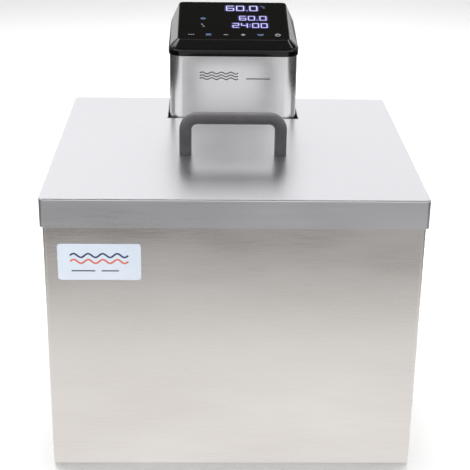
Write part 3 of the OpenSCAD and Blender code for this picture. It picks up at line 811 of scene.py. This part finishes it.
class Cap(Operator):
    """Gloss cap: upright band, tapered shoulders and the display's recess"""
    bl_idname = "sousvide.cap"
    bl_label = "Cap"

    def execute(self, context):
        head = looks()[1]
        low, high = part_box("top_cap")
        turn, plane = glass_plane()
        normal = Vector((0, -math.sin(turn[0]), math.cos(turn[0])))
        glass_low, glass_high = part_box("display_glass")
        tongue_depth, overhang, segments, skin = 8 * MM, 1.2 * MM, 10, 1.4 * MM
        rim_corner, crease_radius, recess = 5 * MM, 2.2 * MM, 1.5 * MM
        base = low.z + tongue_depth
        band = round_block((low.x, low.y, base), (high.x, high.y, base + head.band_height),
                           head.sleeve_radius + overhang, segments)
        pick(band, "faces", lambda f: abs(f.normal.z) > 0.9)
        bpy.ops.mesh.delete(type="FACE")
        pick(band, "verts", lambda v: v.co.z > base + head.band_height / 2)
        mesh = bmesh.from_edit_mesh(band.data)
        for vert in mesh.verts:
            if vert.select:
                vert.co.z += head.band_rise * (vert.co.y - low.y) / (high.y - low.y)
        bmesh.update_edit_mesh(band.data)
        rim = sheet((glass_high.x - glass_low.x + 2 * MM, GLASS_DEPTH + 1.6 * MM))
        pick(rim, "verts", lambda v: True)
        bpy.ops.mesh.bevel(offset=rim_corner, segments=segments, affect="VERTICES")
        bpy.ops.mesh.select_all(action="SELECT")
        bpy.ops.mesh.delete(type="ONLY_FACE")
        place(rim, turn, plane)
        shell = joined(band, rim)

        def open_top(edge):
            """A free edge at the top of the band or round the display."""
            return len(edge.link_faces) < 2 and all(
                v.co.z > base + head.band_height * 0.6 for v in edge.verts)

        def crease(edge):
            """The fold between the band and the shoulders."""
            if len(edge.link_faces) != 2:
                return False
            first, second = (face.normal for face in edge.link_faces)
            return min(abs(first.z), abs(second.z)) < 0.02 and first.angle(second) > math.radians(12)

        pick(shell, "edges", open_top)
        bpy.ops.mesh.bridge_edge_loops()
        bpy.ops.mesh.select_all(action="SELECT")
        bpy.ops.mesh.normals_make_consistent(inside=False)
        pick(shell, "edges", crease)
        round_picked(crease_radius, 5)
        pick(shell, "edges", lambda e: len(e.link_faces) == 1 and open_top(e))
        bpy.ops.mesh.edge_face_add()
        pick(shell, "faces", lambda f: abs(f.normal.dot(normal)) > 0.999
             and (f.calc_center_median() - plane).length < 2 * MM)
        bpy.ops.mesh.inset(thickness=head.rim)
        bpy.ops.mesh.extrude_region_move(TRANSFORM_OT_translate={"value": -normal * recess})
        bpy.ops.mesh.select_all(action="SELECT")
        bpy.ops.mesh.remove_doubles(threshold=0.000001)
        bpy.ops.mesh.normals_make_consistent(inside=False)
        thicken(shell, skin)
        soften(shell, 0.35 * MM, 2, 50)
        tongue_low, tongue_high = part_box("chassis_plate")
        tongue = round_block((tongue_low.x, tongue_low.y, low.z),
                             (tongue_high.x, tongue_high.y, base + 0.4 * MM),
                             head.sleeve_radius - overhang, segments)
        pick(tongue, "faces", lambda f: abs(f.normal.z) > 0.9)
        bpy.ops.mesh.delete(type="FACE")
        thicken(tongue, 2 * MM)
        deliver(joined(shell, tongue), "gloss_cap", "circulator",
                gloss_black(), ["top_cap"], 26)
        return {"FINISHED"}


class Glass(Operator):
    """Smoked cover glass, its edge just broken"""
    bl_idname = "sousvide.glass"
    bl_label = "Display glass"

    def execute(self, context):
        low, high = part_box("display_glass")
        width = high.x - low.x
        obj = round_block((-width / 2, -GLASS_DEPTH / 2, -GLASS_THICKNESS),
                          (width / 2, GLASS_DEPTH / 2, 0), 4 * MM)
        soften(obj, 0.25 * MM, 2)
        on_display(obj)
        deliver(obj, "cover_glass", "circulator", smoked_glass(), ["display_glass"])
        return {"FINISHED"}


SEGMENTS = {"0": "abcdef", "2": "abged", "4": "fgbc", "6": "afgedc"}


def bar(centre, length, stroke, along_x):
    """A flat stroke with cut corners."""
    size = (length, stroke) if along_x else (stroke, length)
    obj = block((centre[0] - size[0] / 2, centre[1] - size[1] / 2, 0),
                (centre[0] + size[0] / 2, centre[1] + size[1] / 2, 0.04 * MM))
    pick(obj, "edges", along("Z"))
    round_picked(stroke * 0.42, 2)
    rest()
    return obj


def digit(mark, x, y, width, height, stroke, swell):
    """One seven-segment digit, its strokes centred on a box with its corner at x, y."""
    half = height / 2
    spots = {
        "a": (width / 2, height, width, True), "g": (width / 2, half, width, True),
        "d": (width / 2, 0, width, True), "b": (width, half * 1.5, half, False),
        "c": (width, half / 2, half, False), "e": (0, half / 2, half, False),
        "f": (0, half * 1.5, half, False)}
    parts = []
    for segment in SEGMENTS[mark]:
        sx, sy, length, along_x = spots[segment]
        parts.append(bar((x + sx, y + sy), length + 0.5 * stroke + swell, stroke + swell, along_x))
    return parts


def number(text, right, y, width, height, stroke, swell):
    """Digits set from their right-hand edge; a point or colon takes a narrow place."""
    parts = []
    gap = 0.19 * width
    x = right
    for mark in reversed(text):
        if mark in ".:":
            x -= stroke
            for rise in ((0.5 * stroke,) if mark == "." else (0.28 * height, 0.72 * height)):
                parts.append(bar((x + stroke / 2, y + rise), stroke + swell, stroke + swell, True))
        else:
            x -= width
            parts += digit(mark, x + stroke / 2, y + stroke / 2, width - stroke, height - stroke,
                           stroke, swell)
        x -= gap
    return parts


def ring(x, y, radius, stroke, sides=24):
    """A flat ring."""
    points = [(x + radius * math.cos(2 * math.pi * i / sides),
               y + radius * math.sin(2 * math.pi * i / sides), 0) for i in range(sides)]
    return pressed(tube(points, stroke / 2, True))


class Readout(Operator):
    """Lit numerals: set point, water temperature and time, with plain symbols"""
    bl_idname = "sousvide.readout"
    bl_label = "Readout"

    def execute(self, context):
        head = looks()[1]
        rows = (("60.0", 28.4, 24.2, 9.7, 13.4, 1.75),
                ("60.0", 37.8, 0.4, 8.3, 11.2, 1.5),
                ("24:00", 38.4, -17.8, 8.0, 11.4, 1.5))
        for name, swell, lift, material in (
                ("digit_spill", 3.0, 0.01 * MM, lit("indigo_spill", linear("231c78"), 0.35)),
                ("digit_glow", 0.5, 0.03 * MM, lit("violet_halo", head.halo_colour, 0.7)),
                ("digits", -0.6, 0.06 * MM, lit("lavender_led", head.digit_colour, 1.15))):
            parts = []
            for text, right, y, width, height, stroke in rows:
                parts += number(text, *(v * MM for v in (right, y, width, height, stroke, swell)))
            obj = joined(*parts)
            place(obj, (0, 0, 0), (0, 0, lift))
            on_display(obj)
            deliver(obj, name, "circulator", material)
        return {"FINISHED"}


class Keys(Operator):
    """Six touch keys and two small lamps, lit from behind"""
    bl_idname = "sousvide.keys"
    bl_label = "Touch keys"

    def execute(self, context):
        y = -34.8 * MM
        spots = [((i - 2.5) * 19.1 + 1) * MM for i in range(6)]
        pale = lit("pale_key_light", linear("b9c4cf"), 0.7)
        blue = lit("blue_key_light", linear("7f9fd8"), 0.6)
        stroke = 0.9 * MM
        groups = {"keys_pale": (pale, []), "keys_blue": (blue, [])}
        white, tint = groups["keys_pale"][1], groups["keys_blue"][1]
        for shift in (-2.4, 0, 2.4):
            white.append(bar((spots[0] + shift * MM, y), 1.6 * MM, 1.6 * MM, True))
        for rise in (-1.6, 0, 1.6):
            tint.append(bar((spots[1], y + rise * MM), 6.0 * MM, stroke, True))
        white.append(bar((spots[2], y), 5 * MM, 1.3 * MM, True))
        white.append(bar((spots[3], y), 5 * MM, 1.5 * MM, True))
        white.append(bar((spots[3], y), 5 * MM, 1.5 * MM, False))
        tint.append(bar((spots[4], y + 1.2 * MM), 7.6 * MM, 1.1 * MM, True))
        tint.append(bar((spots[4], y - 1.2 * MM), 6.0 * MM, 1.1 * MM, True))
        white.append(ring(spots[5], y, 2.5 * MM, 1.1 * MM))
        white.append(bar((spots[5], y + 1.8 * MM), 3 * MM, 1.1 * MM, False))
        tint.append(ring(-33.9 * MM, 4.6 * MM, 2.0 * MM, 0.8 * MM))
        tint.append(bar((-33.9 * MM, 4.6 * MM), 7 * MM, 0.8 * MM, True))
        white.append(bar((-35.0 * MM, -10.0 * MM), 2 * MM, 2 * MM, True))
        white.append(bar((-33.0 * MM, -14.6 * MM), 2 * MM, 2 * MM, True))
        tint.append(ring(32.8 * MM, 36.6 * MM, 0.9 * MM, 0.6 * MM))
        tint.append(bar((35.8 * MM, 35.4 * MM), 2.4 * MM, 0.8 * MM, True))
        tint.append(bar((34.8 * MM, 33.6 * MM), 3.6 * MM, 0.8 * MM, False))
        tint.append(bar((35.8 * MM, 31.8 * MM), 2.4 * MM, 0.8 * MM, True))
        for name, (material, parts) in groups.items():
            obj = joined(*parts)
            place(obj, (0, 0, 0), (0, 0, 0.04 * MM))
            on_display(obj)
            deliver(obj, name, "circulator", material)
        return {"FINISHED"}


class FrontMark(Operator):
    """Plain printed water mark on the sleeve, in place of lettering"""
    bl_idname = "sousvide.front_mark"
    bl_label = "Front mark"

    def execute(self, context):
        low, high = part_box("head_shell")
        front, middle = low.y - 0.02 * MM, (low.x + high.x) / 2
        line_radius = 0.6 * MM
        parts = [place(wave(42 * MM, 1.0 * MM, 4, line_radius), STAND_UP,
                       (middle - 16 * MM, front, high.z - drop * MM)) for drop in (18.3, 21.5, 24.7)]
        parts.append(place(dash(26 * MM, line_radius), STAND_UP,
                           (middle + 27 * MM, front, high.z - 24.7 * MM)))
        deliver(joined(*parts), "sleeve_mark", "circulator", ink("charcoal", "56585a"))
        return {"FINISHED"}


# ---------------------------------------------------------------- clamp and immersion unit

class Clamp(Operator):
    """Cast bracket and lobed knob"""
    bl_idname = "sousvide.clamp"
    bl_label = "Clamp"

    def execute(self, context):
        low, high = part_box("clamp_bracket")
        knob_low, knob_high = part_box("clamp_knob")
        screw_low, screw_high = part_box("clamp_screw")
        axis_x = (screw_low.x + screw_high.x) / 2
        axis_z = (screw_low.z + screw_high.z) / 2
        bridge = 14.2 * MM
        jaw, front_jaw, front_reach, rear_reach = 8 * MM, 4 * MM, 41.3 * MM, 40.3 * MM
        boss_radius, screw_hole = 18 * MM, 4 * MM
        knob_radius, lobe_ring, lobe_radius = 12.5 * MM, 11 * MM, 5.5 * MM
        parts = [block((low.x, low.y, high.z - bridge), (high.x, high.y, high.z)),
                 block((low.x, low.y, high.z - front_reach),
                       (high.x, low.y + front_jaw, high.z - bridge)),
                 block((low.x, high.y - jaw, high.z - rear_reach), (high.x, high.y, high.z - bridge))]
        bracket = parts[0]
        boss = rod((axis_x, high.y - jaw / 2, axis_z), boss_radius, jaw, 64, "Y")
        for other in (*parts[1:], boss):
            modify(bracket, "BOOLEAN", object=other, operation="UNION", solver="EXACT")
            bpy.data.objects.remove(other)
        cut(bracket, rod((axis_x, high.y, axis_z), screw_hole, 60 * MM, 32, "Y"))
        soften(bracket, 1.0 * MM, 3, 50)
        deliver(bracket, "clamp_casting", "circulator", painted_cast(),
                ["clamp_bracket"])
        length = knob_high.y - knob_low.y
        middle = (knob_low.y + knob_high.y) / 2
        knob = rod((axis_x, middle, axis_z), knob_radius, length, 60, "Y")
        for i in range(6):
            angle = math.radians(60 * i)
            lobe = rod((axis_x + lobe_ring * math.cos(angle), middle,
                        axis_z + lobe_ring * math.sin(angle)), lobe_radius, length, 28, "Y")
            modify(knob, "BOOLEAN", object=lobe, operation="UNION", solver="EXACT")
            bpy.data.objects.remove(lobe)
        pick(knob, "faces", facing((0, 1, 0)))
        bpy.ops.mesh.inset(thickness=3 * MM)
        bpy.ops.mesh.extrude_region_move(TRANSFORM_OT_translate={"value": (0, -1.2 * MM, 0)})
        rest()
        cut(knob, rod((axis_x, knob_low.y, axis_z), screw_hole, 28 * MM, 32, "Y"))
        soften(knob, 0.9 * MM, 3, 50)
        deliver(knob, "knob_grip", "clamp_screw", matt_black(), ["clamp_knob"])
        return {"FINISHED"}


class Heater(Operator):
    """Sheathed element, wound as a coil with its leads going up"""
    bl_idname = "sousvide.heater"
    bl_label = "Heater"

    def execute(self, context):
        low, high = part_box("heater_coil")
        radius, coil, bend, pitch = 3.5 * MM, 17 * MM, 8 * MM, 12 * MM
        shaft_radius, start, bend_steps, join_steps = 3 * MM, math.radians(120), 8, 16
        centre = Vector(((low.x + high.x) / 2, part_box("pump_shaft")[0].y + shaft_radius, 0))
        turns, bottom, lead = 6, low.z + radius, high.z
        path = [(0, 0, lead), (0, 0, bottom + bend)]
        for i in range(1, bend_steps + 1):
            angle = math.pi / 2 * i / bend_steps
            path.append((bend - bend * math.cos(angle), 0, bottom + bend - bend * math.sin(angle)))
        for i in range(1, join_steps + 1):
            s = i / join_steps
            reach = coil - (coil - bend) * (1 - s) ** 2
            angle = start * s * s
            path.append((reach * math.cos(angle), reach * math.sin(angle), bottom))
        steps = 40
        total = turns - 1 / 3
        for i in range(1, int(total * steps) + 1):
            angle = start + 2 * math.pi * i / steps
            path.append((coil * math.cos(angle), coil * math.sin(angle), bottom + pitch * i / steps))
        top = bottom + pitch * total
        for i in range(bend_steps + 1):
            angle = math.pi / 2 * i / bend_steps
            path.append((coil, bend * math.sin(angle), top + bend - bend * math.cos(angle)))
        path.append((coil, bend, lead))
        coil_obj = tube([Vector(p) + centre for p in path], radius)
        deliver(coil_obj, "heater_element", "circulator", heater_steel(),
                ["heater_coil"], 60)
        return {"FINISHED"}


CAD_FINISHES = {
    tank_steel: ["base_plate", "lid_liner", "immersion_plate", "pump_column",
                 "temperature_probe", "level_probes", "guard"],
    turned_steel: ["foot_screws", "foot_nuts", "handle_screws", "handle_washers",
                   "shell_screws", "inlet_screws", "plate_screws", "motor_screws",
                   "pump_shaft", "guard_screws", "bracket_screws", "clamp_screw", "touch_pads"],
    foam: ["tank_insulation", "lid_insulation"],
    cast_aluminium: ["chassis_plate", "heat_sink"],
    plated_brass: ["board_posts", "inlet_pins", "heater_nuts"],
    black_rubber: ["cap_gasket", "shaft_seal", "clamp_pad"],
    matt_black: ["fan_frame", "fan_rotor", "power_inlet", "rocker_housing",
                 "pump_housing", "pump_cover", "capacitors", "triac"],
    gloss_black: ["rocker"],
    white_resin: ["shaft_bearing", "impeller"],
    circuit_board: ["display_board", "power_board"],
    painted_can: ["motor"],
    laminations: ["transformer"],
    relay_case: ["relay"],
    led_block: ["led_modules"],
}


class CadFinishes(Operator):
    """Gives every piece that keeps its CAD mesh the finish of the real one"""
    bl_idname = "sousvide.cad_finishes"
    bl_label = "Finishes of the CAD pieces"

    def execute(self, context):
        for make, names in CAD_FINISHES.items():
            for name in names:
                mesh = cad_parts[name].data
                mesh.materials.clear()
                mesh.materials.append(make())
        return {"FINISHED"}


# ---------------------------------------------------------------- stage

def lamp(name, size, location, aim, power):
    """A rectangular soft light, aimed at a point."""
    rest()
    bpy.ops.object.light_add(type="AREA", location=location)
    light = bpy.context.object
    light.name = name
    light.data.shape = "RECTANGLE"
    light.data.size, light.data.size_y = size
    light.data.energy = power
    light.rotation_euler = (Vector(aim) - Vector(location)).to_track_quat("-Z", "Y").to_euler()
    return light


class Stage(Operator):
    """Pale floor, soft studio light and the camera"""
    bl_idname = "sousvide.stage"
    bl_label = "Stage"

    def execute(self, context):
        stage = looks()[2]
        scene = context.scene
        floor = sheet((12, 12), (0, 2, 0))
        floor.name = "floor"
        material, _, shader = blank("pale_paper_sweep")
        shader.inputs["Base Color"].default_value = (*linear("f6f6f6"), 1)
        shader.inputs["Roughness"].default_value = 0.9
        shader.inputs["Specular IOR Level"].default_value = 0.2
        shader.inputs["Emission Color"].default_value = (1, 1, 1, 1)
        shader.inputs["Emission Strength"].default_value = 0.06
        floor.data.materials.append(material)

        # a card seen only in reflections: a painted floor reflection, bright beside the bath and darker
        # further out
        painted_floor_reflection()
        # dark cards beside the bath: painted dark reflections in the sides of the bath and the head
        for name, x in (("flag_left", -1.3), ("flag_right", 1.3)):
            flag(name, (0.45, 2.3), (x, 0.85, 0.63), (0, math.pi / 2, 0), 0.10)
        # painted shade on the lid in front of the head: the lid mirrors this dark card
        flag("flag_lid", (0.13, 0.06), (0, -0.20, 0.40), STAND_UP, 0.03)
        studio_world(scene, stage)
        lamp("overhead", (1.6, 1.6), (0, 0.5, 1.9), (0, 0, 0.2), 52).visible_glossy = False
        lamp("corner_softbox", (0.26, 0.26), (-0.62, 0.66, 1.29), (0, 0.07, 0.37), 1.6)
        lamp("edge_strip", (1.6, 0.16), (0, 0.50, 1.60), (0, -0.19, 0.285), 3.5)

        bpy.ops.object.camera_add()
        camera = bpy.context.object
        camera.name = "camera"
        low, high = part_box("outer_casing")
        left, back, height = 0.02543, 1.19365, 0.67071
        camera.location = (-left, (low.y + high.y) / 2 - back, height)
        turn = (Matrix.Rotation(-stage.yaw, 4, "Z") @ Matrix.Rotation(math.pi / 2 - stage.pitch, 4, "X")
                @ Matrix.Rotation(stage.roll, 4, "Z"))
        camera.rotation_euler = turn.to_euler()
        camera.data.lens = stage.focal
        camera.data.sensor_width = 36
        scene.camera = camera
        scene.view_settings.view_transform = "Standard"
        rest()
        return {"FINISHED"}


def glowing_card(name, size, location, turn=(0, 0, 0)):
    """A studio card that only shows in reflections."""
    card = sheet(size, location, turn)
    card.name = name
    card.visible_camera = card.visible_diffuse = card.visible_shadow = False
    card.visible_transmission = card.visible_volume_scatter = False
    material = bpy.data.materials.new(name)
    material.use_nodes = True
    tree = material.node_tree
    tree.nodes.clear()
    glow = add(tree, "ShaderNodeEmission")
    add(tree, "ShaderNodeOutputMaterial", links={"Surface": glow.outputs["Emission"]})
    card.data.materials.append(material)
    return tree, glow


def painted_floor_reflection():
    """Painted floor reflection for the polished sides: a card seen only in reflections, bright beside
    them and darker further out, with a brighter band far off, though the floor itself is evenly pale.
    """
    tree, glow = glowing_card("floor_in_reflections", (9, 10), (0, 1, 0.0008))
    where = add(tree, "ShaderNodeTexCoord")
    split = add(tree, "ShaderNodeSeparateXYZ", links={"Vector": where.outputs["Object"]})
    reach = [add(tree, "ShaderNodeMath", links={0: split.outputs[axis]}, operation="ABSOLUTE")
             for axis in "XY"]
    far = add(tree, "ShaderNodeMath", links={0: reach[0].outputs[0], 1: reach[1].outputs[0]},
              operation="MAXIMUM")
    half = add(tree, "ShaderNodeMath", {1: 0.5}, {0: far.outputs[0]}, operation="MULTIPLY")
    aside = add(tree, "ShaderNodeMapRange",
                {"From Min": 0.8, "From Max": 1.0, "To Min": 1.0, "To Max": 0.06},
                {"Value": reach[0].outputs[0]})
    ramp = add(tree, "ShaderNodeValToRGB", links={"Fac": half.outputs[0]})
    # painted reflection: how brightly the card glows at each distance from the bath
    tones = ((0.15, 1.03), (0.22, 0.99), (0.26, 0.93), (0.285, 0.81), (0.31, 0.64), (0.335, 0.48),
             (0.36, 0.34), (0.39, 0.20), (0.42, 0.08), (0.54, 0.06), (0.62, 0.75), (0.80, 0.75),
             (0.98, 0.3))
    stops = ramp.color_ramp.elements
    stops[0].position, stops[1].position = tones[0][0], tones[-1][0]
    for distance, _ in tones[1:-1]:
        stops.new(distance)
    for stop, (_, tone) in zip(stops, tones):
        stop.color = (tone, tone * 0.985, tone * 0.975, 1)
    # painted reflection far behind: dark to the left and bright to the right, for the cap's shoulders
    # to mirror
    rear = add(tree, "ShaderNodeMapRange", {"From Min": 1.0, "From Max": 1.2},
               {"Value": split.outputs["Y"]})
    left = add(tree, "ShaderNodeMapRange", {"From Min": -0.25, "From Max": 0.25},
               {"Value": split.outputs["X"]})
    shade = add(tree, "ShaderNodeMix", {"A": (0.02, 0.02, 0.02, 1), "B": (0.95, 0.95, 0.95, 1)},
                {"Factor": left.outputs["Result"]}, data_type="RGBA")
    mix = add(tree, "ShaderNodeMix", links={"Factor": rear.outputs["Result"],
                                            "A": ramp.outputs["Color"],
                                            "B": shade.outputs["Result"]}, data_type="RGBA")
    tree.links.new(aside.outputs["Result"], glow.inputs["Strength"])
    tree.links.new(mix.outputs["Result"], glow.inputs["Color"])


def flag(name, size, location, turn, tone):
    """A dark card, seen only in reflections: a painted dark reflection."""
    _, glow = glowing_card(name, size, location, turn)
    glow.inputs["Color"].default_value = (tone, tone, tone, 1)


def studio_world(scene, stage):
    """White walls, a greyer ceiling, and a dark patch high behind that the display mirrors."""
    world = bpy.data.worlds.new("studio")
    scene.world = world
    world.use_nodes = True
    sky = world.node_tree
    sky.nodes.clear()
    where = add(sky, "ShaderNodeTexCoord")
    split = add(sky, "ShaderNodeSeparateXYZ", links={"Vector": where.outputs["Generated"]})
    high = add(sky, "ShaderNodeMapRange", {"From Min": 0.54, "From Max": 0.62,
                                           "To Min": stage.horizon, "To Max": stage.zenith},
               {"Value": split.outputs["Z"]})
    behind = add(sky, "ShaderNodeMapRange", {"From Min": 0.2, "From Max": 0.45, "To Max": 0.85},
                 {"Value": split.outputs["Y"]})
    raised = add(sky, "ShaderNodeMapRange", {"From Min": 0.54, "From Max": 0.60},
                 {"Value": split.outputs["Z"]})
    patch = add(sky, "ShaderNodeMath", links={0: behind.outputs["Result"],
                                              1: raised.outputs["Result"]}, operation="MULTIPLY")
    open_sky = add(sky, "ShaderNodeMath", {0: 1.0}, {1: patch.outputs[0]}, operation="SUBTRACT")
    strength = add(sky, "ShaderNodeMath", links={0: high.outputs["Result"],
                                                 1: open_sky.outputs[0]}, operation="MULTIPLY")
    back = add(sky, "ShaderNodeBackground", {"Color": (1, 1, 1, 1)},
               {"Strength": strength.outputs[0]})
    add(sky, "ShaderNodeOutputWorld", links={"Surface": back.outputs["Background"]})


# ---------------------------------------------------------------- add-on

PIECES = (BathCasing, Tank, Feet, Lid, LidHandle, Label, Sleeve, Cap, Glass, Readout, Keys,
          FrontMark, Clamp, Heater, CadFinishes, Stage)
GROUPS = (("bath_looks", BathLooks), ("head_looks", HeadLooks), ("stage_looks", StageLooks))


class SousVidePanel(Panel):
    """Sizes, colours and a button for each piece"""
    bl_idname = "VIEW3D_PT_sousvide"
    bl_label = "Sous vide"
    bl_space_type = "VIEW_3D"
    bl_region_type = "UI"
    bl_category = "Sous vide"

    def draw(self, context):
        for name, group in GROUPS:
            box = self.layout.box()
            for key in group.__annotations__:
                box.prop(getattr(context.scene, name), key)
        for piece in PIECES:
            self.layout.operator(piece.bl_idname)


def register():
    for cls in (*(group for _, group in GROUPS), *PIECES, SousVidePanel):
        bpy.utils.register_class(cls)
    for name, group in GROUPS:
        setattr(bpy.types.Scene, name, PointerProperty(type=group))


def unregister():
    for name, _ in GROUPS:
        delattr(bpy.types.Scene, name)
    for cls in reversed((*(group for _, group in GROUPS), *PIECES, SousVidePanel)):
        bpy.utils.unregister_class(cls)


def main():
    register()
    for piece in PIECES:
        family, name = piece.bl_idname.split(".")
        getattr(getattr(bpy.ops, family), name)()


if __name__ == "__main__":
    main()
